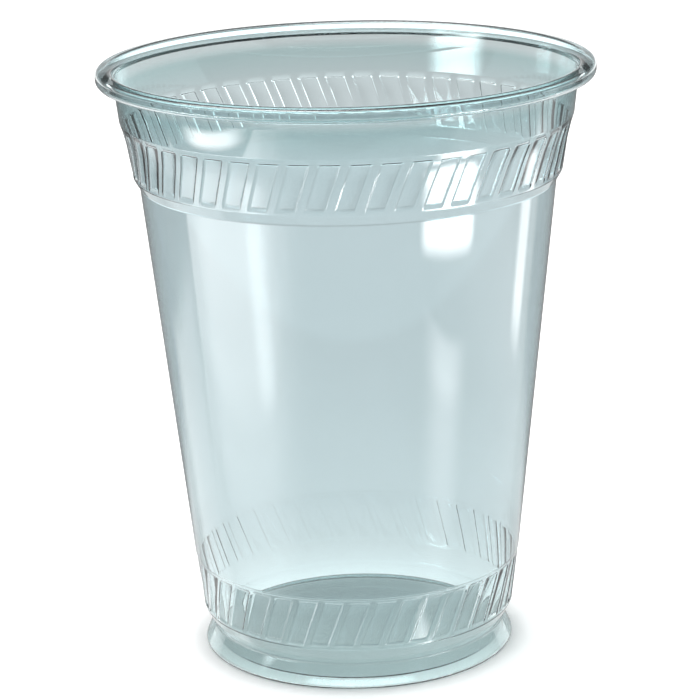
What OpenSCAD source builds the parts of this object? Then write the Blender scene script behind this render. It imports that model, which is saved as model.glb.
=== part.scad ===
// Clear disposable cold cup, thermoformed in one piece from thin sheet.
// Its section is one path along the outside face, from the middle of the floor to the free edge of
// the rolled rim. The inside face is the same path moved inwards by the thickness of the sheet.
// Two bands of slanted ribs run round it. The panels between the ribs are pressed inwards, so each
// is a hollow in the outside face with a pad behind it that keeps the sheet's thickness.
// Lengths are in millimetres. The cup stands on z = 0, and its axis is z.

/* [Overall] */
// Height from the table to the top of the rim, before its bends are rounded
cup_h = 119.6; // [105:0.2:140]
// Diameter over the rolled rim
rim_d = 98; // [96:0.5:104]
// Thickness of the sheet
wall = 0.32; // [0.25:0.01:0.5]

/* [Rolled rim] */
// Diameter of the mouth inside the rim
mouth_d = 90.8; // [88:0.2:92]
// Height of the roll, top to bottom
rim_h = 2.8; // [2.4:0.1:4]
// How far the top of the roll falls towards its outer edge
rim_fall = 0.4; // [0:0.1:0.8]
// Radius of the roll's inner bend
rim_in_r = 1.3; // [0.8:0.1:1.6]
// Radius of the roll's outer bends
rim_out_r = 1.1; // [0.8:0.05:1.15]
// Clear gap between the roll's free edge and the neck
curl_gap = 0.7; // [0.3:0.1:1.5]
// Height of the neck, from the top of the collar to the top of the rim
neck_h = 4.9; // [4.2:0.1:7]

/* [Collar and stacking ledge] */
// Diameter at the top of the collar
collar_top_d = 90.6; // [89:0.2:93]
// Diameter at the foot of the collar
collar_foot_d = 89.3; // [88.6:0.1:90.4]
// Height of the collar
collar_h = 5.6; // [4:0.2:9]
// Height of the sloping stacking ledge
ledge_h = 2.8; // [1.6:0.2:4]
// Radius of the bend at the top of the ledge
ledge_r = 0.9; // [0.4:0.1:1.4]

/* [Upper rib band] */
// Diameter at the top of the upper band
band_top_d = 87.4; // [86.4:0.2:88.6]
// Diameter at the foot of the upper band
band_foot_d = 85.0; // [83.6:0.2:86.2]
// Height of the upper band
band_h = 7.4; // [6.6:0.2:12]
// Height of the shoulder under the upper band
shoulder_h = 3.9; // [2.4:0.1:6]
// Number of ribs round the upper band
rib_count = 48; // [24:1:56]
// Width of the upper ribs
rib_w = 1.4; // [0.9:0.1:2]
// Slant of the upper ribs
rib_slant = 19; // [0:1:30]
// Turn of the upper panels round the cup
rib_turn = 1; // [-8:0.5:8]
// Height of the upper panels' feet above the foot of the band
panel_start = 0.5; // [0:0.1:1.5]
// How far the upper panels run up into the ledge
panel_rise = 1.1; // [-0.6:0.1:1.2]

/* [Wall] */
// Diameter at the top of the plain wall
wall_top_d = 82.1; // [80:0.1:83]
// Diameter at the foot of the plain wall
wall_foot_d = 66.1; // [64:0.1:74]

/* [Lower rib band] */
// Inward step where the plain wall meets the lower band
step_in = 0.15; // [0.05:0.05:0.3]
// Height of the lower band
low_band_h = 10.7; // [9:0.1:16]
// Diameter at the foot of the lower band
low_band_foot_d = 63.3; // [62:0.1:65.4]
// Number of ribs round the lower band
low_rib_count = 40; // [24:1:44]
// Width of the lower ribs
low_rib_w = 1.0; // [0.8:0.1:1.5]
// Slant of the lower ribs
low_rib_slant = 20.5; // [0:0.5:30]
// Turn of the lower panels round the cup
low_rib_turn = -2.5; // [-8:0.5:8]
// Height of the lower panels' feet above the foot of the band
low_panel_start = 0.6; // [0.4:0.1:1.5]
// Distance of the lower panels' tops below the step
low_panel_drop = 0.5; // [0.4:0.1:1.5]

/* [Panels of both bands] */
// Depth of the panels below the ribs
panel_depth = 0.25; // [0.1:0.05:0.4]
// Radius of the panels' corners
panel_r = 0.9; // [0.3:0.1:1]

/* [Foot] */
// Height of the chamfer under the lower band
chamfer_h = 3.7; // [2.4:0.1:6]
// Diameter of the waist
waist_d = 59.4; // [58.4:0.2:61]
// Height of the waist above the table
waist_h = 4.6; // [3.6:0.1:7]
// How far the foot stands out past the waist, before its bend is rounded
foot_flare = 2; // [1.4:0.1:3]
// Width of the ring that the cup stands on, before its bends are rounded
foot_ring_w = 1.5; // [1.4:0.1:3]
// Radius of the foot's outer bend
foot_r = 0.5; // [0.4:0.05:0.6]
// Height of the floor's underside above the table
floor_lift = 1.35; // [1:0.05:2.4]
// How far in from the waist the raised floor ends
floor_in = 0.5; // [0.4:0.1:3]

/* [Hidden] */
$fn = 96;
// Radius of the sheet's other bends
bend_r = 0.5;
// Least radius left on the tight side of a bend
bend_min = 0.05;
// Segments in each bend of the section, and in each corner of a panel
bend_steps = 4;
corner_steps = 2;
// Share of a straight stretch that the bend at one of its ends may take
bend_share = 0.48;
// Height over which the step into the lower band is drawn
step_h = 0.4;
// Reach of the panels' cutters outside the sheet, and along it past the ends of the band
cut_out = 1;
cut_past = 1.5;
// Start of the panels' blocks under the sheet
cut_in = 0.15;
// Depth inside the outside face at which the pads begin
pad_cover = 0.05;

// Heights of the section's corners, the lower ones from the table and the upper ones from the rim
z_low_foot = waist_h + chamfer_h;
z_low_top = z_low_foot + low_band_h;
z_collar_top = cup_h - neck_h;
z_collar_foot = z_collar_top - collar_h;
z_band_top = z_collar_foot - ledge_h;
z_band_foot = z_band_top - band_h;
z_wall_top = z_band_foot - shoulder_h;

// Radii of the floor and the foot
r_floor = waist_d / 2 - floor_in;
r_foot = waist_d / 2 + foot_flare;

// Radii and heights of the roll's corners, on the underside of its sheet
r_neck = mouth_d / 2 + wall;
r_roll = rim_d / 2 - wall;
z_roll_top = cup_h - wall;
z_roll_foot = cup_h - rim_h + wall;

// Ends of the two bands on the outside face
band_foot = [band_foot_d / 2, z_band_foot];
band_top = [band_top_d / 2, z_band_top];
low_foot = [low_band_foot_d / 2, z_low_foot];
low_top = [wall_foot_d / 2 - step_in, z_low_top];

// The outside face as [radius, height, radius of the bend]
SECTION = [
    [0, floor_lift, 0],
    [r_floor, floor_lift, bend_r],
    [r_foot - foot_ring_w, 0, bend_r],
    [r_foot, 0, foot_r],
    [waist_d / 2, waist_h, bend_r],
    [low_foot.x, low_foot.y, bend_r],
    [low_top.x, low_top.y, bend_r],
    [wall_foot_d / 2, z_low_top + step_h, bend_r],
    [wall_top_d / 2, z_wall_top, bend_r],
    [band_foot.x, band_foot.y, bend_r],
    [band_top.x, band_top.y, bend_r],
    [collar_foot_d / 2, z_collar_foot, ledge_r],
    [collar_top_d / 2, z_collar_top, bend_r],
    [r_neck, z_roll_top, rim_in_r - wall],
    [r_roll, z_roll_top - rim_fall, rim_out_r - wall],
    [r_roll, z_roll_foot, rim_out_r - wall],
    [r_neck + curl_gap, z_roll_foot, 0]
];

function flat(p) = [p.x, p.y];
function unit(v) = v / norm(v);
function inward(a, b) = let(u = unit(b - a)) [-u.y, u.x];
function turn(a, b, c) =
    let(u = unit(b - a), v = unit(c - b))
    atan2(u.x * v.y - u.y * v.x, u * v);
function reversed(list) = [for (i = [len(list) - 1 : -1 : 0]) list[i]];

// Corner b of the path a, b, c, moved inwards by d
function moved(a, b, c, d) =
    let(m = unit(inward(a, b) + inward(b, c)))
    b + m * d / (m * inward(a, b));

// The section moved inwards by d, with each bend about the same centre as before
function inside(s, d) =
    let(last = len(s) - 1)
    [
        for (i = [0 : last])
            let(
                b = flat(s[i]),
                a = i == 0 ? b - (flat(s[1]) - b) : flat(s[i - 1]),
                c = i == last ? b + (b - flat(s[last - 1])) : flat(s[i + 1]),
                p = moved(a, b, c, d)
            )
            [p.x, p.y, s[i].z == 0 ? 0 : max(s[i].z - sign(turn(a, b, c)) * d, bend_min)]
    ];

// Points of the bend at corner b, of radius r unless a straight stretch beside it is too short
function bend(a, b, c, r, steps) =
    let(
        t = turn(a, b, c),
        room = bend_share * min(norm(b - a), norm(c - b)),
        reach = min(r * tan(abs(t) / 2), room),
        start = b - unit(b - a) * reach,
        centre = start + inward(a, b) * sign(t) * reach / tan(abs(t) / 2),
        arm = start - centre
    )
    [
        for (k = [0 : steps])
            let(w = t * k / steps)
            centre + [arm.x * cos(w) - arm.y * sin(w), arm.x * sin(w) + arm.y * cos(w)]
    ];

// The section with all its bends
function rounded(s) = [
    for (i = [0 : len(s) - 1])
        each s[i].z == 0
            ? [flat(s[i])]
            : bend(flat(s[i - 1]), flat(s[i]), flat(s[i + 1]), s[i].z, bend_steps)
];

// The whole cup without its ribs
module sheet() {
    rotate_extrude()
        polygon(concat(rounded(SECTION), reversed(rounded(inside(SECTION, wall)))));
}

// Ring along a band of the outside face, between the depths outer and inner below that face
module band_ring(foot, top, outer, inner) {
    in = inward(foot, top);
    along = unit(top - foot) * cut_past;
    a = foot - along;
    b = top + along;
    rotate_extrude()
        polygon([a + in * outer, b + in * outer, b + in * inner, a + in * inner]);
}

// Outline of a panel: a leaning box w wide and h high, with round corners
module panel_outline(w, h, slant, r) {
    lean = h * tan(slant) / 2;
    box = [[-w / 2 - lean, -h / 2], [w / 2 - lean, -h / 2], [w / 2 + lean, h / 2], [-w / 2 + lean, h / 2]];
    polygon([for (i = [0 : 3]) each bend(box[(i + 3) % 4], box[i], box[(i + 1) % 4], r, corner_steps)]);
}

// All the panels of a band, as solids between the depths outer and inner, each grown by grow
module panels(foot, top, count, rib, slant, turned, low, high, outer, inner, grow) {
    start = foot.x - wall - panel_depth - cut_in;
    w = PI * (foot.x + top.x) / count - rib;
    intersection() {
        band_ring(foot, top, outer, inner);
        for (i = [0 : count - 1])
            rotate([0, 0, turned + i * 360 / count])
                translate([0, -start, (low + high) / 2])
                    rotate([90, 0, 0])
                        linear_extrude(top.x + cut_out - start)
                            panel_outline(w + 2 * grow, high - low + 2 * grow, slant, panel_r + grow);
    }
}

module upper_panels(outer, inner, grow) {
    low = z_band_foot + panel_start;
    high = z_band_top + panel_rise;
    panels(band_foot, band_top, rib_count, rib_w, rib_slant, rib_turn, low, high, outer, inner, grow);
}

module lower_panels(outer, inner, grow) {
    low = z_low_foot + low_panel_start;
    high = z_low_top - low_panel_drop;
    panels(low_foot, low_top, low_rib_count, low_rib_w, low_rib_slant, low_rib_turn, low, high,
        outer, inner, grow);
}

module cup() {
    color([0.78, 0.88, 0.89, 0.4])
        difference() {
            union() {
                sheet();
                upper_panels(pad_cover, wall + panel_depth, wall);
                lower_panels(pad_cover, wall + panel_depth, wall);
            }
            upper_panels(-cut_out, panel_depth, 0);
            lower_panels(-cut_out, panel_depth, 0);
        }
}

cup();
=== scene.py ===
# %% [markdown]
# # A clear disposable cold cup
# The cup is one thin sheet of clear plastic, drawn down into a mould by heat and air. It has a rolled
# rim, a smooth collar, a sloping ledge, two bands of slanted ribs, a plain tapered wall and a foot.
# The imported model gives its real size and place. This lesson builds a finer mesh of the same sheet,
# because clear plastic shows every bend, and a coarse mesh would show its flats in each highlight.

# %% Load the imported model
import math

import bpy
import numpy as np
from mathutils import Matrix, Vector


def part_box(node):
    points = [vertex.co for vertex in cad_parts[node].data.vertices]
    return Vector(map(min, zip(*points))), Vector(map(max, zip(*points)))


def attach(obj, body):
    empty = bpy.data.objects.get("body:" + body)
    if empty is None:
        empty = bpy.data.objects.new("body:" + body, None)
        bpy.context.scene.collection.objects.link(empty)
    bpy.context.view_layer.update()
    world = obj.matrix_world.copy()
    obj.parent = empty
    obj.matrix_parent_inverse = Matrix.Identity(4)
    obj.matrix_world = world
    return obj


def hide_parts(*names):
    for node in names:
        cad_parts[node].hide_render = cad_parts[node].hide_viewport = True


MM = 0.001
bpy.context.scene.view_settings.view_transform = "Standard"
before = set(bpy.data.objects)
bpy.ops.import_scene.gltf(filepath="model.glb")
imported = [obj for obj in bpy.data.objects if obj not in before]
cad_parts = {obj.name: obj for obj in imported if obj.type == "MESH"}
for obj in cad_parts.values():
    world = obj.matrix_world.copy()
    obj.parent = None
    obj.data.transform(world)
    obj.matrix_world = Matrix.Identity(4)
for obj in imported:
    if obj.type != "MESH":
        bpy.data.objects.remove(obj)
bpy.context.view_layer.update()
low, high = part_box("cup")
print("packed cup, mm:", [round(v / MM, 2) for v in high - low])

# %% [markdown]
# ## The camera
# The photograph looks down on the cup from the front at about sixteen degrees, through a long lens.
# The rim's ellipse, the foot's ellipse and the slope of the sides fix the lens, the height and the
# distance together. The picture leans a little, so the camera is rolled by the same angle.

# %% Place the camera
PICTURE_PX = 700
FOCAL_PX = 2852.2
SENSOR = 36.0
CAMERA_BACK = 551.6 * MM
CAMERA_UP = 219.3 * MM
PITCH = math.radians(16.066)
ROLL = math.radians(-1.427)
YAW = math.radians(0.052)


def camera_axes(pitch, roll, yaw):
    """The camera's right, up and backward directions."""
    spin = Matrix.Rotation(yaw, 3, "Z")
    forward = spin @ Vector((0, math.cos(pitch), -math.sin(pitch)))
    right = spin @ Vector((1, 0, 0))
    up = right.cross(forward)
    rolled_right = right * math.cos(roll) + up * math.sin(roll)
    rolled_up = up * math.cos(roll) - right * math.sin(roll)
    return rolled_right, rolled_up, -forward


def place_camera():
    data = bpy.data.cameras.new("camera")
    data.sensor_width = SENSOR
    data.lens = FOCAL_PX * SENSOR / PICTURE_PX
    camera = bpy.data.objects.new("camera", data)
    bpy.context.scene.collection.objects.link(camera)
    turn = Matrix(camera_axes(PITCH, ROLL, YAW)).transposed().to_4x4()
    camera.matrix_world = Matrix.Translation((0, -CAMERA_BACK, CAMERA_UP)) @ turn
    bpy.context.scene.camera = camera
    return camera


camera = place_camera()
print("lens, mm:", round(camera.data.lens, 1))

# %% [markdown]
# ## The section of the sheet
# A thermoformed cup has nearly the same thickness all over, so its section is one path along the
# outside face, from the middle of the floor to the free edge of the rolled rim. The inside face is
# the same path moved in by the thickness. Blender's Screw and Solidify could turn and thicken such a
# path, but the ribs would then have nowhere to go, so the rings are made here. A short list of
# corners, each with the radius of its bend, says the whole path. The rim's size and the height come
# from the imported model.

# %% Name the sizes of the section
SHEET = 0.32 * MM
CLEARANCE = 0.01 * MM
RIM_R = min(high.x, -low.x) - CLEARANCE
TOP = high.z
MOUTH_R = 45.4 * MM
ROLL_DROP = 2.66 * MM
FLOOR_LIFT = 1.35 * MM
FLOOR_R = 29.2 * MM
FOOT_R = 31.7 * MM
FOOT_RING_W = 1.5 * MM
WAIST = (29.7 * MM, 4.6 * MM)
LOW_FOOT = (31.65 * MM, 8.3 * MM)
LOW_TOP = (32.9 * MM, 19.0 * MM)
WALL_FOOT = (33.05 * MM, 19.4 * MM)
WALL_TOP = (41.16 * MM, 96.0 * MM)
BAND_FOOT = (42.35 * MM, 98.0 * MM)
BAND_TOP = (43.7 * MM, 106.3 * MM)
COLLAR_FOOT = (44.65 * MM, 109.1 * MM)
COLLAR_TOP = (45.3 * MM, 114.7 * MM)
print("rim and height, mm:", round(2 * RIM_R / MM, 2), round(TOP / MM, 2))

# %% Round the corners of a path
# A bend is held by a short straight at each end, and uses at most this share of its shorter side
HOLD = 0.06 * MM
BEND_SHARE = 0.44


def bend(before, corner, after, radius, steps):
    """Points round one corner of a path, on an arc of that radius where there is room for it."""
    before, corner, after = (np.array(p, float) for p in (before, corner, after))
    u = (corner - before) / np.linalg.norm(corner - before)
    v = (after - corner) / np.linalg.norm(after - corner)
    turn = math.atan2(u[0] * v[1] - u[1] * v[0], u @ v)
    room = BEND_SHARE * min(np.linalg.norm(corner - before), np.linalg.norm(after - corner))
    reach = min(radius * math.tan(abs(turn) / 2), room)
    start = corner - u * reach
    centre = start + np.array([-u[1], u[0]]) * math.copysign(reach / math.tan(abs(turn) / 2), turn)
    points = [start - u * HOLD]
    for k in range(steps + 1):
        w = turn * k / steps
        c, s = math.cos(w), math.sin(w)
        arm = start - centre
        points.append(centre + np.array([arm[0] * c - arm[1] * s, arm[0] * s + arm[1] * c]))
    points.append(points[-1] + v * HOLD)
    return points


def rounded(corners):
    """The path through the corners, given as (radius, height, bend radius, steps)."""
    points = []
    for i, (r, z, radius, steps) in enumerate(corners):
        if radius == 0:
            points.append(np.array([r, z]))
        else:
            points += bend(corners[i - 1][:2], (r, z), corners[i + 1][:2], radius, steps)
    return points


print("points round a right angle in 6 steps:", len(bend((0, 0), (1, 0), (1, 1), 0.2, 6)))

# %% Draw the foot and the top of the path
# The last corner of the foot and the first one of the top only lead the bends next to them
FOOT_PATH = [
    (0.2 * MM, FLOOR_LIFT, 0, 0),
    (10 * MM, FLOOR_LIFT, 0, 0),
    (20 * MM, FLOOR_LIFT, 0, 0),
    (FLOOR_R, FLOOR_LIFT, 0.5 * MM, 4),
    (FOOT_R - FOOT_RING_W, 0, 0.5 * MM, 5),
    (FOOT_R, 0, 0.5 * MM, 6),
    (*WAIST, 0.8 * MM, 6),
    (*LOW_FOOT, 0.45 * MM, 6),
    (32.0 * MM, 11.3 * MM, 0, 0),
]
ROLL_R = RIM_R - SHEET
ROLL_RISE = 0.1 * MM
ROLL_TOP = TOP - SHEET + ROLL_RISE
ROLL_FALL = 0.4 * MM
CURL_GAP = 0.7 * MM
NECK_R = MOUTH_R + SHEET
TOP_PATH = [
    (*BAND_TOP, 0, 0),
    (*COLLAR_FOOT, 0.9 * MM, 5),
    (*COLLAR_TOP, 0.7 * MM, 4),
    (NECK_R, ROLL_TOP, 1.25 * MM, 8),
    (ROLL_R, ROLL_TOP - ROLL_FALL, 0.55 * MM, 8),
    (ROLL_R, TOP - ROLL_DROP, 0.78 * MM, 8),
    (NECK_R + CURL_GAP, TOP - ROLL_DROP, 0, 0),
]
foot_path = rounded(FOOT_PATH)[:-1]
top_path = rounded(TOP_PATH)[1:]
print("points in the foot and the top:", len(foot_path), len(top_path))

# %% [markdown]
# ## The ribs
# The ribs are the sheet left standing between shallow panels, which the mould presses inwards. Each
# panel leans, has round corners, and has one steep side and one gentle side. A displacement would
# need a fine even grid, so here the grid follows the ribs instead: every pitch has its own uneven
# columns, close together on the sides of a rib, and every row is turned a little further than the
# one below it, which makes the columns lean with the ribs. The mould touches only one face, so the
# relief of the inside face is a little wider and softer. That small difference bends light at the
# sides of each rib, and is what draws the thin lines that are seen on the real cup.

# %% Describe the two bands
# A band has its number of panels, the ends of its slope, the width and slant of its ribs, a turn
# round the cup, the ends of its panels, the lengths of their foot and top ramps, and their depth.
UPPER = {
    "count": 48, "foot": BAND_FOOT, "top": BAND_TOP, "rib": 1.5 * MM, "slant": math.radians(19),
    "turn": math.radians(0.9), "low": 98.45 * MM, "high": 108.0 * MM,
    "ramps": (0.85 * MM, 0.25 * MM), "depth": 0.3 * MM,
}
LOWER = {
    "count": 40, "foot": LOW_FOOT, "top": LOW_TOP, "rib": 1.05 * MM, "slant": math.radians(20.5),
    "turn": math.radians(-2.6), "low": 8.8 * MM, "high": 18.6 * MM,
    "ramps": (0.7 * MM, 0.35 * MM), "depth": 0.2 * MM,
}
STEEP = 0.3 * MM
GENTLE = 0.5 * MM
# On the inside face the relief is wider by SPREAD, and its ramps are longer by these shares
SPREAD = 0.12 * MM
SOFTER = 0.8
FOOT_SOFTER = 0.12
print("panels:", UPPER["count"], LOWER["count"])


# %% Shape one panel
def smooth(t):
    t = np.clip(t, 0, 1)
    return t * t * (3 - 2 * t)


def pressed_in(across, up, width, height, foot_ramp, top_ramp, spread):
    """The share of its depth that a panel has, at a place measured from its middle."""
    longer = 1 + SOFTER * spread / SPREAD
    left = smooth((width / 2 + spread + across) / (GENTLE * longer))
    right = smooth((width / 2 + spread - across) / (STEEP * longer))
    foot = smooth((height / 2 + up) / (foot_ramp * (1 + FOOT_SOFTER * spread / SPREAD)))
    top = smooth((height / 2 + spread - up) / (top_ramp * longer))
    return left * right * foot * top


test_panel = (4 * MM, 9 * MM, *UPPER["ramps"], 0.0)
print("share pressed in at the middle and at a side:", pressed_in(np.array([0, -2 * MM]), 0, *test_panel))

# %% Set out the uneven grid of a band
# Places on the four ramps of a panel as shares of each ramp, and places beside it on the rib
GENTLE_STEPS = (0, 0.33, 0.67, 1, 1.25)
STEEP_STEPS = (1.4, 1, 0.5, 0)
FOOT_STEPS = (-0.15, 0, 0.33, 0.67, 1, 1.2)
TOP_STEPS = (1.4, 1, 0.67, 0.33, 0, -0.2)
RIB_STEPS = (0.1 * MM, 0.22 * MM)
MIDDLE_ROWS = 2


def columns(width):
    """Places across one pitch, from the rib left of a panel to the rib right of it."""
    left, right = -width / 2, width / 2
    gentle = [left + GENTLE * k for k in GENTLE_STEPS]
    steep = [right - STEEP * k for k in STEEP_STEPS]
    middle = (gentle[-1] + steep[0]) / 2
    outer_left = [left - step for step in reversed(RIB_STEPS)]
    outer_right = [right + step for step in RIB_STEPS]
    return [*outer_left, *gentle, middle, *steep, *outer_right]


def rows(low, high, foot_ramp, top_ramp):
    """Heights of a band's rows: close together at the ends of the panels, wide in the middle."""
    foot = [low + foot_ramp * k for k in FOOT_STEPS]
    top = [high - top_ramp * k for k in TOP_STEPS]
    return foot + list(np.linspace(foot[-1], top[0], MIDDLE_ROWS + 2))[1:-1] + top


print("rows in the upper band:", len(rows(UPPER["low"], UPPER["high"], *UPPER["ramps"])))


# %% Find the radius on the slope of a band
def on_line(a, b, z):
    """The radius at a height, on the straight line between two places of the section."""
    return a[0] + (b[0] - a[0]) * (z - a[1]) / (b[1] - a[1])


def lower_radius(z):
    return on_line(LOW_FOOT, LOW_TOP, z)


def upper_radius(z):
    """The band's own slope, then the ledge above it."""
    return on_line(BAND_FOOT, BAND_TOP, z) if z < BAND_TOP[1] else on_line(BAND_TOP, COLLAR_FOOT, z)


print("radius at the top of the upper panels, mm:", round(upper_radius(UPPER["high"]) / MM, 2))

# %% [markdown]
# ## From rings to a closed sheet
# Each ring of the mesh is a list of angles at one radius and height, with a depth for each angle.
# The outside and the inside face share the same rings, so the sheet stays nearly as thick over every
# rib. Where two neighbouring rings have a different number of points, they are laced together like a
# zip, always joining the nearer point next. The plain stretches can then stay light.

# %% Describe a ring
class Ring:
    """One turn round the cup: a place on the section, its inward direction, angles and depths."""

    def __init__(self, r, z, angles, depths=(0.0, 0.0), band=None):
        self.r, self.z, self.angles = r, z, np.asarray(angles)
        self.band = band
        self.depths = [np.zeros(len(self.angles)) + depth for depth in depths]
        self.inward = (-1.0, 0.0)

    def points(self, inside):
        """The points of the outside face, or of the inside face, one sheet further in."""
        move = self.depths[inside] + inside * SHEET
        r = self.r + self.inward[0] * move
        z = self.z + self.inward[1] * move
        return np.stack([r * np.sin(self.angles), -r * np.cos(self.angles), z], 1)


def even_angles(count):
    return np.arange(count) * 2 * math.pi / count


def plain_rings(path, count):
    return [Ring(r, z, even_angles(count)) for r, z in path]


print("points of a ring of 8, each with x, y and z:", Ring(FOOT_R, 0, even_angles(8)).points(0).shape)


# %% Make the rings of the two bands
def band_rings(band, path_radius):
    """The rings of one band of ribs."""
    middle = (band["low"] + band["high"]) / 2
    radius = on_line(band["foot"], band["top"], middle)
    pitch = 2 * math.pi * radius / band["count"]
    width = pitch - band["rib"]
    height = band["high"] - band["low"]
    across = np.array(columns(width))
    rings = []
    for z in rows(band["low"], band["high"], *band["ramps"]):
        lean = (z - middle) * math.tan(band["slant"]) / radius
        starts = band["turn"] + lean + np.arange(band["count"]) * 2 * math.pi / band["count"]
        angles = (starts[:, None] + across[None, :] / radius).ravel()
        places = np.tile(across, band["count"])
        size = (width, height, *band["ramps"])
        depths = [band["depth"] * pressed_in(places, z - middle, *size, s) for s in (0.0, SPREAD)]
        rings.append(Ring(path_radius(z), z, angles, depths, band["count"]))
    return rings


lower_rings = band_rings(LOWER, lower_radius)
upper_rings = band_rings(UPPER, upper_radius)
print("rings in the two bands:", len(lower_rings), len(upper_rings))

# %% Follow the whole path
# Points round one plain ring: more where it shows in a highlight next to the ribs
FINE = 264
WALL_COUNT = 216
WALL_HEIGHTS = (25 * MM, 40 * MM, 57 * MM, 75 * MM, 88 * MM)
TOP_START = 108.2 * MM
low_step = rounded([
    (*LOW_FOOT, 0, 0),
    (*LOW_TOP, 0.4 * MM, 3),
    (*WALL_FOOT, 0.4 * MM, 3),
    (*WALL_TOP, 0, 0),
])[1:-1]
shoulder = rounded([
    (*WALL_FOOT, 0, 0),
    (*WALL_TOP, 0.6 * MM, 4),
    (*BAND_FOOT, 0.6 * MM, 4),
    (*BAND_TOP, 0, 0),
])[1:-1]
wall = [(on_line(WALL_FOOT, WALL_TOP, z), z) for z in WALL_HEIGHTS]
rings = plain_rings(foot_path, WALL_COUNT)
rings += lower_rings
rings += plain_rings(low_step, WALL_COUNT) + plain_rings(wall, WALL_COUNT)
rings += plain_rings(shoulder, FINE)
rings += upper_rings
rings += plain_rings([p for p in top_path if p[1] > TOP_START], FINE)
print("rings:", len(rings), "points on one face:", sum(len(r.angles) for r in rings))


# %% Lace two rings together
def lace(a, b, first_a, first_b):
    """Triangles and quads between two rings, which may have different numbers of points."""
    n, m = len(a.angles), len(b.angles)
    if a.band == b.band and n == m:
        return [(first_a + i, first_a + (i + 1) % n, first_b + (i + 1) % n, first_b + i) for i in range(n)]
    turn_a = a.angles[0]
    shift = int(np.argmin(np.abs(np.angle(np.exp(1j * (b.angles - turn_a))))))
    order_b = [(shift + k) % m for k in range(m)]
    steps_a = np.unwrap(np.append(a.angles, a.angles[0] + 2 * math.pi)) - turn_a
    ring_b = np.append(b.angles[order_b], b.angles[order_b[0]] + 2 * math.pi)
    steps_b = np.unwrap(ring_b) - turn_a
    steps_b -= round(steps_b[0] / (2 * math.pi)) * 2 * math.pi
    faces, i, j = [], 0, 0
    while i < n or j < m:
        here_a, here_b = first_a + i % n, first_b + order_b[j % m]
        if j >= m or (i < n and steps_a[i + 1] <= steps_b[j + 1]):
            faces.append((here_a, first_a + (i + 1) % n, here_b))
            i += 1
        else:
            faces.append((here_a, first_b + order_b[(j + 1) % m], here_b))
            j += 1
    return faces


six, eight = Ring(1, 0, even_angles(6)), Ring(1, 1, even_angles(8))
print("faces between rings of 6 and 8 points:", len(lace(six, eight, 0, 6)))


# %% Make the two faces of the sheet
def set_inward(rings):
    """Gives each ring the inward direction of the section there."""
    path = np.array([(r.r, r.z) for r in rings])
    step = np.diff(path, axis=0)
    step /= np.linalg.norm(step, axis=1)[:, None]
    along = np.vstack([step[:1], step[:-1] + step[1:], step[-1:]])
    along /= np.linalg.norm(along, axis=1)[:, None]
    for ring, (r, z) in zip(rings, along):
        ring.inward = (-z, r)


def skin(rings, inside, first):
    """Points and faces of one face of the sheet, closed at its middle by one point."""
    points = [ring.points(inside) for ring in rings]
    firsts = first + np.cumsum([0] + [len(p) for p in points])
    faces = []
    for k in range(len(rings) - 1):
        faces += lace(rings[k], rings[k + 1], firsts[k], firsts[k + 1])
    centre = int(firsts[-1])
    middle = [0, 0, rings[0].z + rings[0].inward[1] * SHEET * inside]
    n = len(rings[0].angles)
    faces += [(centre, first + (i + 1) % n, first + i) for i in range(n)]
    if inside:
        faces = [tuple(reversed(f)) for f in faces]
    return np.vstack([*points, [middle]]), faces, int(firsts[-2])


set_inward(rings)
outside, outside_faces, edge_out = skin(rings, 0, 0)
inside, inside_faces, edge_in = skin(rings, 1, len(outside))
n = len(rings[-1].angles)
edge = [(edge_out + i, edge_out + (i + 1) % n, edge_in + (i + 1) % n, edge_in + i) for i in range(n)]
print("points outside and inside:", len(outside), len(inside))


# %% Build the closed sheet
def make_sheet():
    mesh = bpy.data.meshes.new("cup_sheet")
    mesh.from_pydata(np.vstack([outside, inside]).tolist(), [], outside_faces + inside_faces + edge)
    mesh.validate()
    mesh.shade_smooth()
    cup = bpy.data.objects.new("cup_sheet", mesh)
    bpy.context.scene.collection.objects.link(cup)
    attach(cup, "root")
    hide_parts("cup")
    return cup


cup = make_sheet()
print("triangles:", sum(len(p.vertices) - 2 for p in cup.data.polygons))

# %% [markdown]
# ## Clear plastic
# The real cup is clear, with a little grey and a little green-blue in it. A half transparent paint
# would look like film. This plastic is a solid that light enters and leaves instead: the sheet has
# an inside and an outside face, and bends and mirrors light at both. Its colour changes over the
# height: palest at the foot, greyer up the wall, and deepest in the narrow neck under the rim. The
# grey-green is the plastic's own, and these changes over the height are painted light and shade. A
# colour ramp gives them, and the floor's darker colour is painted shade as well. Seen along its
# length, as at the edges of the cup, a sheet looks deeper, which the angle of view gives. A lamp's
# light goes straight through with some loss, so the shadow stays pale.

# %% Work with numbers in a shader
def feed(tree, socket, value):
    """Gives a socket a number or a colour, or links another node's output to it."""
    if isinstance(value, bpy.types.NodeSocket):
        tree.links.new(value, socket)
    else:
        socket.default_value = value


def calc(tree, operation, *values):
    """The result of a Math node."""
    node = tree.nodes.new("ShaderNodeMath")
    node.operation = operation
    for socket, value in zip(node.inputs, values):
        feed(tree, socket, value)
    return node.outputs[0]


def stretch(tree, value, low, high, to_low=0.0, to_high=1.0, kind="LINEAR"):
    """A value between low and high, mapped to the range from to_low to to_high."""
    node = tree.nodes.new("ShaderNodeMapRange")
    node.interpolation_type = kind
    limits = {"Value": value, "From Min": low, "From Max": high, "To Min": to_low, "To Max": to_high}
    for name, limit in limits.items():
        feed(tree, node.inputs[name], limit)
    return node.outputs[0]


# %% Work with colours in a shader
def grey(level):
    return (level, level, level, 1)


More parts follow.
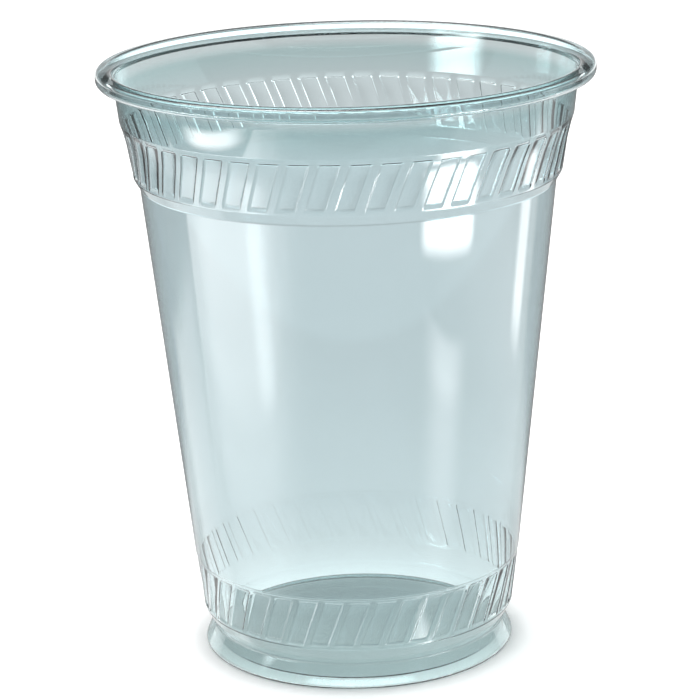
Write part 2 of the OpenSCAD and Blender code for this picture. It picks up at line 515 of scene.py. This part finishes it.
def ramp(tree, value, stops, kind="LINEAR"):
    """The result of a colour ramp with these (position, colour or grey level) stops."""
    node = tree.nodes.new("ShaderNodeValToRGB")
    node.color_ramp.interpolation = kind
    for _ in stops[2:]:
        node.color_ramp.elements.new(0.5)
    for element, (position, level) in zip(node.color_ramp.elements, stops):
        element.position = position
        element.color = (*level, 1) if isinstance(level, tuple) else grey(level)
    feed(tree, node.inputs["Fac"], value)
    return node.outputs["Color"]


def blend(tree, share, a, b):
    """Colour a with a share of colour b in it."""
    node = tree.nodes.new("ShaderNodeMix")
    node.data_type = "RGBA"
    for name, value in (("Factor", share), ("A", a), ("B", b)):
        feed(tree, node.inputs[name], value)
    return node.outputs["Result"]


# %% Work with shaders and places
def mix_shaders(tree, share, a, b):
    """Shader a with a share of shader b in it."""
    node = tree.nodes.new("ShaderNodeMixShader")
    for socket, value in zip(node.inputs, (share, a, b)):
        feed(tree, socket, value)
    return node.outputs[0]


def split(tree, vector):
    """The X, Y and Z of a vector."""
    node = tree.nodes.new("ShaderNodeSeparateXYZ")
    feed(tree, node.inputs[0], vector)
    return node.outputs


def from_axis(tree, position):
    """How far a place is from the cup's axis."""
    flat = tree.nodes.new("ShaderNodeVectorMath")
    flat.operation = "MULTIPLY"
    feed(tree, flat.inputs[0], position)
    feed(tree, flat.inputs[1], (1, 1, 0))
    reach = tree.nodes.new("ShaderNodeVectorMath")
    reach.operation = "LENGTH"
    feed(tree, reach.inputs[0], flat.outputs[0])
    return reach.outputs["Value"]


# %% Name the colours of the plastic
IOR = 1.5
# Colours over the height of the cup, from the table to the top of the rim
# The grey-green is the plastic's own; its changes over the height are painted light and shade
HEIGHT_TINT_AND_SHADE = [
    (0.0, (0.86, 0.93, 0.93)),
    (0.03, (0.79, 0.865, 0.87)),
    (0.06, (0.77, 0.845, 0.85)),
    (0.15, (0.705, 0.785, 0.80)),
    (0.50, (0.685, 0.768, 0.787)),
    (0.68, (0.712, 0.797, 0.817)),
    (0.80, (0.735, 0.82, 0.84)),
    (0.90, (0.68, 0.785, 0.805)),
    (0.955, (0.54, 0.71, 0.72)),
    (0.97, (0.76, 0.85, 0.86)),
]
# The floor's darker colour is painted shade, for the shadowed table under the cup seen through it
FLOOR_PAINTED_SHADE = (0.71, 0.805, 0.81, 1)
FLOOR_REACH = 29.1 * MM
EDGE_TINT = (0.50, 0.63, 0.65, 1)
EDGE_START = 0.55
EDGE_FULL = 0.95
EDGE_SHARE = 0.5
SHADOW_TINT = (0.62, 0.69, 0.69, 1)
print("colours over the height:", len(HEIGHT_TINT_AND_SHADE))


# %% Make the clear plastic
def clear_plastic():
    material = bpy.data.materials.new("clear_plastic")
    material.use_nodes = True
    tree = material.node_tree
    tree.nodes.clear()
    position = tree.nodes.new("ShaderNodeNewGeometry").outputs["Position"]
    # Painted light and shade over the height, on top of the plastic's own grey-green
    tint_and_shade = ramp(tree, stretch(tree, split(tree, position)["Z"], 0.0, TOP), HEIGHT_TINT_AND_SHADE)
    # Inside the floor's radius the plastic is darkened: painted shade
    floor_shade_mask = calc(tree, "LESS_THAN", from_axis(tree, position), FLOOR_REACH)
    tint_and_shade = blend(tree, floor_shade_mask, tint_and_shade, FLOOR_PAINTED_SHADE)
    facing = tree.nodes.new("ShaderNodeLayerWeight")
    facing.inputs["Blend"].default_value = 0.5
    edge = stretch(tree, facing.outputs["Facing"], EDGE_START, EDGE_FULL, 0.0, EDGE_SHARE)
    plastic = tree.nodes.new("ShaderNodeBsdfPrincipled")
    plastic.inputs["Roughness"].default_value = 0.0
    plastic.inputs["IOR"].default_value = IOR
    plastic.inputs["Transmission Weight"].default_value = 1.0
    feed(tree, plastic.inputs["Base Color"], blend(tree, edge, tint_and_shade, EDGE_TINT))
    shade = tree.nodes.new("ShaderNodeBsdfTransparent")
    shade.inputs["Color"].default_value = SHADOW_TINT
    shadow_ray = tree.nodes.new("ShaderNodeLightPath").outputs["Is Shadow Ray"]
    output = tree.nodes.new("ShaderNodeOutputMaterial")
    feed(tree, output.inputs["Surface"], mix_shaders(tree, shadow_ray, plastic.outputs[0], shade.outputs[0]))
    return material


cup.data.materials.append(clear_plastic())
print("material of the cup:", cup.data.materials[0].name)

# %% [markdown]
# ## The table
# The cup stands on a white ground with no edge. A clear thing shows almost only what is behind it,
# so the table matters more than the plastic does. To the camera it glows just enough to be plain
# white, and it glows less next to the foot, which paints a soft dark ring where the foot meets it on
# top of the lamp's own shadow. Through the plastic it glows less with the distance, which gives the
# wall its grey, and it is dimmer under the cup, a painted shade, and brightest just outside the foot,
# a painted light for its lighter foot. A bright far zone draws the light lines of the ribs. To both
# sides and in front its colour is darker there for the rays through the plastic: painted shade for
# the darker rest of a room, which draws their dark lines. Mirrored rays pass the table and meet the
# room. From below it is clear, so the underside of the cup can be seen.

# %% Name the sizes and the glow of the table
TABLE_SIZE = 6
TABLE_DROP = 0.05 * MM
TABLE_WHITE = 0.8
TABLE_SHADE = 0.02
# Glow by the distance from the axis in metres, first through the plastic, then to the camera
# Through the plastic the glow is lower under the cup, painted shade, and peaks by the foot, painted light
THROUGH_GLOW = [
    (0.020, 0.39),
    (0.029, 0.40),
    (0.033, 0.75),
    (0.06, 0.38),
    (0.62, 0.0),
    (0.72, 0.0),
    (0.78, 2.0),
]
# To the camera the low glow next to the foot paints a soft contact shadow on top of the lamp's own
OPEN_GLOW_AND_SHADE = [
    (0.0315, 0.12),
    (0.034, 0.43),
    (0.039, 0.62),
]
# The painted shade starts and ends at these distances to the left; the right and the front count less
SIDE_NEAR = 0.11
SIDE_FAR = 0.25
SIDE_SHADE = 0.5
RIGHT_SHARE = 0.45
FRONT_SHARE = 0.4
print("the table is darkest to the left from, m:", SIDE_FAR)


# %% Make the white of the table
def painted_side_shade(tree, position):
    """How much painted shade darkens the table to the sides and in front, as seen through the plastic."""
    place = split(tree, position)
    left = calc(tree, "MULTIPLY", place["X"], -1.0)
    right = calc(tree, "MULTIPLY", place["X"], RIGHT_SHARE)
    front = calc(tree, "MULTIPLY", place["Y"], -FRONT_SHARE)
    around = calc(tree, "MAXIMUM", calc(tree, "MAXIMUM", left, right), front)
    return stretch(tree, around, SIDE_NEAR, SIDE_FAR, 0.0, SIDE_SHADE)


def white_table():
    material = bpy.data.materials.new("white_table")
    material.use_nodes = True
    tree = material.node_tree
    place = tree.nodes.new("ShaderNodeNewGeometry").outputs
    rays = tree.nodes.new("ShaderNodeLightPath").outputs
    reach = from_axis(tree, place["Position"])
    dark = calc(tree, "MULTIPLY", painted_side_shade(tree, place["Position"]), rays["Is Transmission Ray"])
    through = calc(tree, "MULTIPLY", ramp(tree, reach, THROUGH_GLOW), calc(tree, "SUBTRACT", 1.0, dark))
    through = calc(tree, "MULTIPLY", through, rays["Is Transmission Ray"])
    # Less glow next to the foot paints the contact shadow
    glow_and_contact_shade = ramp(tree, reach, OPEN_GLOW_AND_SHADE)
    surface = tree.nodes["Principled BSDF"]
    surface.inputs["Roughness"].default_value = 1.0
    surface.inputs["Specular IOR Level"].default_value = 0.0
    surface.inputs["Emission Color"].default_value = grey(1.0)
    # For rays through the plastic the base colour darkens to the sides and in front: painted shade
    feed(tree, surface.inputs["Base Color"], blend(tree, dark, grey(TABLE_WHITE), grey(TABLE_SHADE)))
    glow = calc(tree, "MULTIPLY_ADD", rays["Is Camera Ray"], glow_and_contact_shade, through)
    feed(tree, surface.inputs["Emission Strength"], glow)
    below = tree.nodes.new("ShaderNodeBsdfTransparent")
    both_sides = mix_shaders(tree, place["Backfacing"], surface.outputs[0], below.outputs[0])
    feed(tree, tree.nodes["Material Output"].inputs["Surface"], both_sides)
    return material


# %% Lay the table
def make_table():
    bpy.ops.mesh.primitive_plane_add(size=TABLE_SIZE, location=(0, 0, -TABLE_DROP))
    table = bpy.context.object
    table.name = "table"
    table.visible_glossy = False
    table.data.materials.append(white_table())
    return table


table = make_table()
print("the table lies under the cup by, mm:", round(-table.location.z / MM, 2))

# %% [markdown]
# ## The room
# Round the cup the world is white to the camera and plain to the table. Mirrored and bent rays meet
# a darker room, because edges of clear plastic on a white ground are drawn by what is dark. Behind
# the cup a ramp over the elevation gives it a white horizon, then a grey and a dark band, and more
# light above them. In front it has one grey level, and the ceiling there is dark, which draws the
# lines along the rim.

# %% Name the levels of the room
# Levels by elevation in degrees, behind the cup and everywhere below the horizon
ROOM = [
    (-23, 0.85),
    (-21.5, 0.8),
    (-20, 0.2),
    (-9, 0.2),
    (-8, 1.3),
    (0, 1.2),
    (4, 0.5),
    (9, 0.4),
    (13, 0.03),
    (25, 0.03),
    (32, 0.5),
    (80, 1.0),
]
PLAIN_LEVEL = 0.5
FRONT_LEVEL = 0.35
CEILING_LEVEL = 0.02
# Places on a ball of radius 1: how high the ceiling starts and is full, and how far back the back is
CEILING = (0.75, 0.84)
BEHIND = (0.7, 0.95)


def sphere_height(angle):
    """An elevation as a place on a ramp that runs from the bottom to the top of the world."""
    return (math.sin(math.radians(angle)) + 1) / 2


print("the horizon's place on the ramp:", sphere_height(0))


# %% Make the room
def background(tree, colour, strength=1.0):
    node = tree.nodes.new("ShaderNodeBackground")
    feed(tree, node.inputs["Color"], colour)
    node.inputs["Strength"].default_value = strength
    return node.outputs[0]


def make_room():
    world = bpy.data.worlds.new("room")
    bpy.context.scene.world = world
    world.use_nodes = True
    tree = world.node_tree
    tree.nodes.clear()
    rays = tree.nodes.new("ShaderNodeLightPath").outputs
    way = split(tree, tree.nodes.new("ShaderNodeTexCoord").outputs["Generated"])
    stops = [(sphere_height(angle), level) for angle, level in ROOM]
    by_height = ramp(tree, stretch(tree, way["Z"], -1.0, 1.0), stops)
    front = stretch(tree, way["Z"], *CEILING, FRONT_LEVEL, CEILING_LEVEL)
    behind = stretch(tree, way["Y"], *BEHIND)
    ramp_shows = calc(tree, "MAXIMUM", behind, calc(tree, "LESS_THAN", way["Z"], 0.0))
    studio = background(tree, blend(tree, ramp_shows, front, by_height))
    clear_ray = calc(tree, "MAXIMUM", rays["Is Glossy Ray"], rays["Is Transmission Ray"])
    light = mix_shaders(tree, clear_ray, background(tree, grey(1.0), PLAIN_LEVEL), studio)
    seen = mix_shaders(tree, rays["Is Camera Ray"], light, background(tree, grey(1.0)))
    feed(tree, tree.nodes.new("ShaderNodeOutputWorld").inputs["Surface"], seen)


make_room()
print("the world:", bpy.context.scene.world.name, "with levels:", len(ROOM))

# %% [markdown]
# ## The lamp and the mirrored windows
# One large soft lamp overhead lights the table and gives the shadow. The bright patches on the wall
# and the collar are a window and lamps, mirrored in the plastic. Area lamps strong enough for them
# would burn out the table, so each is a glowing card that only mirrored rays meet. It hangs where
# the line of sight leaves the cup after it was mirrored. Light that was mirrored in the inside of
# the far wall comes out through the near wall, so the cards for it are met by those rays only. Soft
# edges are what makes a patch look like a window and not like paint. They are one node group, used
# by every card, and a card with an uneven patch has a ramp across it or up it as well.

# %% Hang the lamp
LAMP_PLACE = (-0.25, 0.35, 1.2)
LAMP_SIZE = 0.8
LAMP_POWER = 8


def hang_lamp():
    data = bpy.data.lights.new("overhead", "AREA")
    data.shape = "RECTANGLE"
    data.size = LAMP_SIZE
    data.size_y = LAMP_SIZE
    data.energy = LAMP_POWER
    lamp = bpy.data.objects.new("overhead", data)
    bpy.context.scene.collection.objects.link(lamp)
    lamp.location = LAMP_PLACE
    lamp.rotation_mode = "QUATERNION"
    lamp.rotation_quaternion = (-Vector(LAMP_PLACE)).to_track_quat("-Z", "Y")
    lamp.visible_camera = False
    return lamp


overhead = hang_lamp()
print("lamp, W:", overhead.data.energy)


# %% Make the soft edges of a card
def soft_edges():
    """A node group: a mask that fades to nothing towards the four edges of a card."""
    group = bpy.data.node_groups.new("soft_edges", "ShaderNodeTree")
    group.interface.new_socket("Across", in_out="INPUT", socket_type="NodeSocketFloat")
    group.interface.new_socket("Upright", in_out="INPUT", socket_type="NodeSocketFloat")
    group.interface.new_socket("Mask", in_out="OUTPUT", socket_type="NodeSocketFloat")
    widths = group.nodes.new("NodeGroupInput").outputs
    place = split(group, group.nodes.new("ShaderNodeTexCoord").outputs["Generated"])
    fades = []
    for axis, width in (("X", widths["Across"]), ("Y", widths["Upright"])):
        to_edge = calc(group, "MINIMUM", place[axis], calc(group, "SUBTRACT", 1.0, place[axis]))
        fades.append(stretch(group, to_edge, 0.0, width, kind="SMOOTHSTEP"))
    output = group.nodes.new("NodeGroupOutput")
    feed(group, output.inputs["Mask"], calc(group, "MULTIPLY", *fades))
    return group


SOFT_EDGES = soft_edges()
print("node group:", SOFT_EDGES.name)


# %% Make the glow of a card
def card_glow(name, level, edges, profiles):
    """The glow of a card: soft edges, and for some cards a ramp across or up its face as well."""
    material = bpy.data.materials.new(name)
    material.use_nodes = True
    tree = material.node_tree
    tree.nodes.clear()
    mask = tree.nodes.new("ShaderNodeGroup")
    mask.node_tree = SOFT_EDGES
    mask.inputs["Across"].default_value, mask.inputs["Upright"].default_value = edges
    glow = mask.outputs["Mask"]
    if profiles:
        place = split(tree, tree.nodes.new("ShaderNodeTexCoord").outputs["Generated"])
        for axis, stops in profiles.items():
            glow = calc(tree, "MULTIPLY", ramp(tree, place[axis], stops, "EASE"), glow)
    light = tree.nodes.new("ShaderNodeEmission")
    light.inputs["Strength"].default_value = level
    feed(tree, light.inputs["Color"], glow)
    clear = tree.nodes.new("ShaderNodeBsdfTransparent")
    both = tree.nodes.new("ShaderNodeAddShader")
    feed(tree, both.inputs[0], light.outputs[0])
    feed(tree, both.inputs[1], clear.outputs[0])
    feed(tree, tree.nodes.new("ShaderNodeOutputMaterial").inputs["Surface"], both.outputs[0])
    material.cycles.emission_sampling = "NONE"
    return material


# %% Make a card
def way_out(azimuth, elevation):
    """The direction with that azimuth from the front and that elevation."""
    a, e = math.radians(azimuth), math.radians(elevation)
    return Vector((math.sin(a) * math.cos(e), -math.cos(a) * math.cos(e), math.sin(e)))


def card(name, way, distance, size, level, edges, height=0.09, inside=False, profiles=None):
    """A card that faces the cup's axis at a height, from a way (azimuth, elevation) and a distance.

    Its soft edges are shares of its width and height. With inside it is met by the rays that come
    out through the plastic, and else by the rays that are mirrored last.
    """
    aim = Vector((0, 0, height))
    place = aim + way_out(*way) * distance
    bpy.ops.mesh.primitive_plane_add(size=1)
    sheet = bpy.context.object
    sheet.name = name
    sheet.scale = (size[0], size[1], 1)
    sheet.rotation_mode = "QUATERNION"
    sheet.rotation_quaternion = (place - aim).to_track_quat("Z", "Y")
    sheet.location = place
    sheet.visible_camera = False
    sheet.visible_diffuse = False
    sheet.visible_shadow = False
    sheet.visible_glossy = not inside
    sheet.visible_transmission = inside
    sheet.data.materials.append(card_glow(name, level, edges, profiles))
    return sheet


print("a way of 0, 0 points to the front:", tuple(way_out(0, 0)))

# %% Hang the cards on the left
# Each card has its way in degrees, its distance and its size in metres, its level, its soft edges,
# and the height that it faces. Most hang at the same distance.
FAR = 0.6
LEFT_PROFILES = {
    "X": [(0, 0), (0.05, 0.5), (0.25, 0.93), (0.6, 1), (0.7, 0.73), (0.8, 0.37), (0.91, 0.1), (1, 0)],
    "Y": [(0, 0), (0.5, 0.05), (0.605, 0.18), (0.72, 0.42), (0.82, 0.78), (0.94, 1), (0.985, 1), (1, 0)],
}
left_cards = [
    card("left_window", (-64, -38), FAR, (0.87, 0.37), 6, (0.01, 0.01), profiles=LEFT_PROFILES),
    card("left_core", (-53, -25.5), FAR, (0.16, 0.09), 2.6, (0.4, 0.2)),
    card("left_far", (-118, -37), FAR, (0.42, 0.36), 0.9, (0.3, 0.07)),
    card("left_collar", (-57, 0), 0.104, (0.070, 0.006), 13, (0.35, 0.4), 0.0852),
]
print("cards on the left:", len(left_cards))

# %% Hang the cards on the right
STRIPE_PROFILE = {
    "Y": [(0, 0), (0.35, 0.1), (0.6, 0.42), (0.75, 0.52), (0.86, 0.95), (0.93, 0.8), (1, 0)],
}
WIDE_PROFILE = {
    "Y": [(0, 0), (0.3, 0.1), (0.55, 0.3), (0.68, 0.8), (0.9, 1), (1, 0)],
}
right_cards = [
    card("right_key", (46, 0), 0.100, (0.054, 0.0225), 18, (0.18, 0.3), 0.0686),
    card("right_low", (63, -40.8), 0.78, (0.50, 0.09), 14, (0.3, 0.3), 0.1),
    card("right_stripe", (57, -32.5), 0.66, (0.36, 0.15), 4.6, (0.45, 0.01), profiles=STRIPE_PROFILE),
    card("right_wide", (90, -30), FAR, (0.95, 0.4), 1.2, (0.12, 0.01), profiles=WIDE_PROFILE),
    card("cream", (113, -20), FAR, (0.14, 0.10), 4.2, (0.35, 0.3), 0.095),
]
print("cards on the right:", len(right_cards))

# %% Hang the cards for the inside of the far wall
inside_cards = [
    card("inner_key", (-62, 3), FAR, (0.41, 0.10), 15, (0.35, 0.2), 0.1, True),
    card("inner_low", (-62, -7.8), FAR, (0.37, 0.03), 10, (0.2, 0.2), 0.02, True),
    card("inner_high", (0, 45), FAR, (1.3, 0.16), 6, (0.2, 0.3), 0.1, True),
]
print("cards for the inside:", len(inside_cards))
